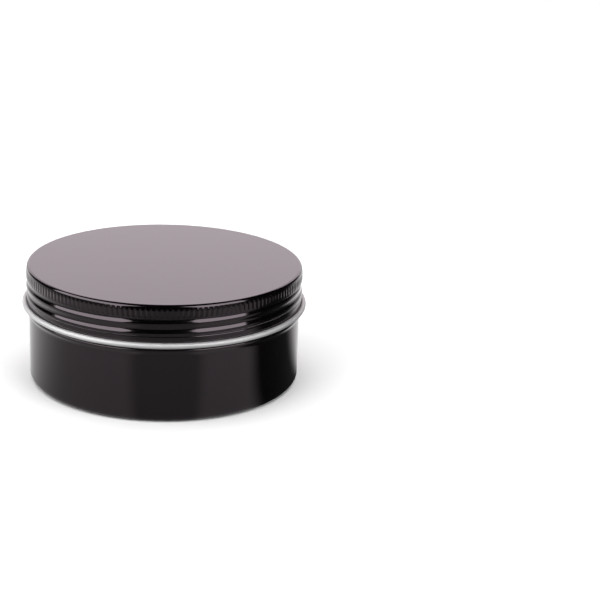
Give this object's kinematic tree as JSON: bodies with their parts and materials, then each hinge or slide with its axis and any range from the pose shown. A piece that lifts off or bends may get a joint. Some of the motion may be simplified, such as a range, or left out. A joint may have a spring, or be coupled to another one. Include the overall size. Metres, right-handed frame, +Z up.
{
  "type": "screw-top candle tin",
  "caption": "Low round aluminium candle tin with a threaded can, a knurled screw lid with a bare rolled bead at its lower edge, and a foam liner disc inside the lid.",
  "frame": {"origin": "centre of the foot ring, on the surface the tin stands on", "axes": "+Z up along the tin's axis; -Y is the front, where the thread angle is counted from; the lid is screwed home"},
  "size_m": [0.083, 0.083, 0.0345],
  "materials": {
    "black_lacquer": "gloss black lacquer outside, bare drawn aluminium inside",
    "lid_lacquer": "gloss black lacquer outside, bare aluminium inside and on the rolled bead",
    "liner_foam": "matte closed-cell polyethylene foam"
  },
  "bodies": {
    "can": {"base_can": "black_lacquer"},
    "liner": {"lid_liner": "liner_foam"},
    "lid": {"screw_lid": "lid_lacquer"}
  },
  "joints": [
    {"name": "lid_lift", "type": "slide", "parent": "can", "child": "liner", "axis": [0, 0, 1], "range_m": [0, 0.0141]},
    {"name": "lid_turn", "type": "hinge", "parent": "liner", "child": "lid", "pos_m": [0, 0, 0.0345], "axis": [0, 0, 1], "range_deg": [0, 1800]}
  ],
  "couplings": [
    {"joint": "lid_lift", "follows": "lid_turn", "m_per_rad": 0.00044563}
  ]
}
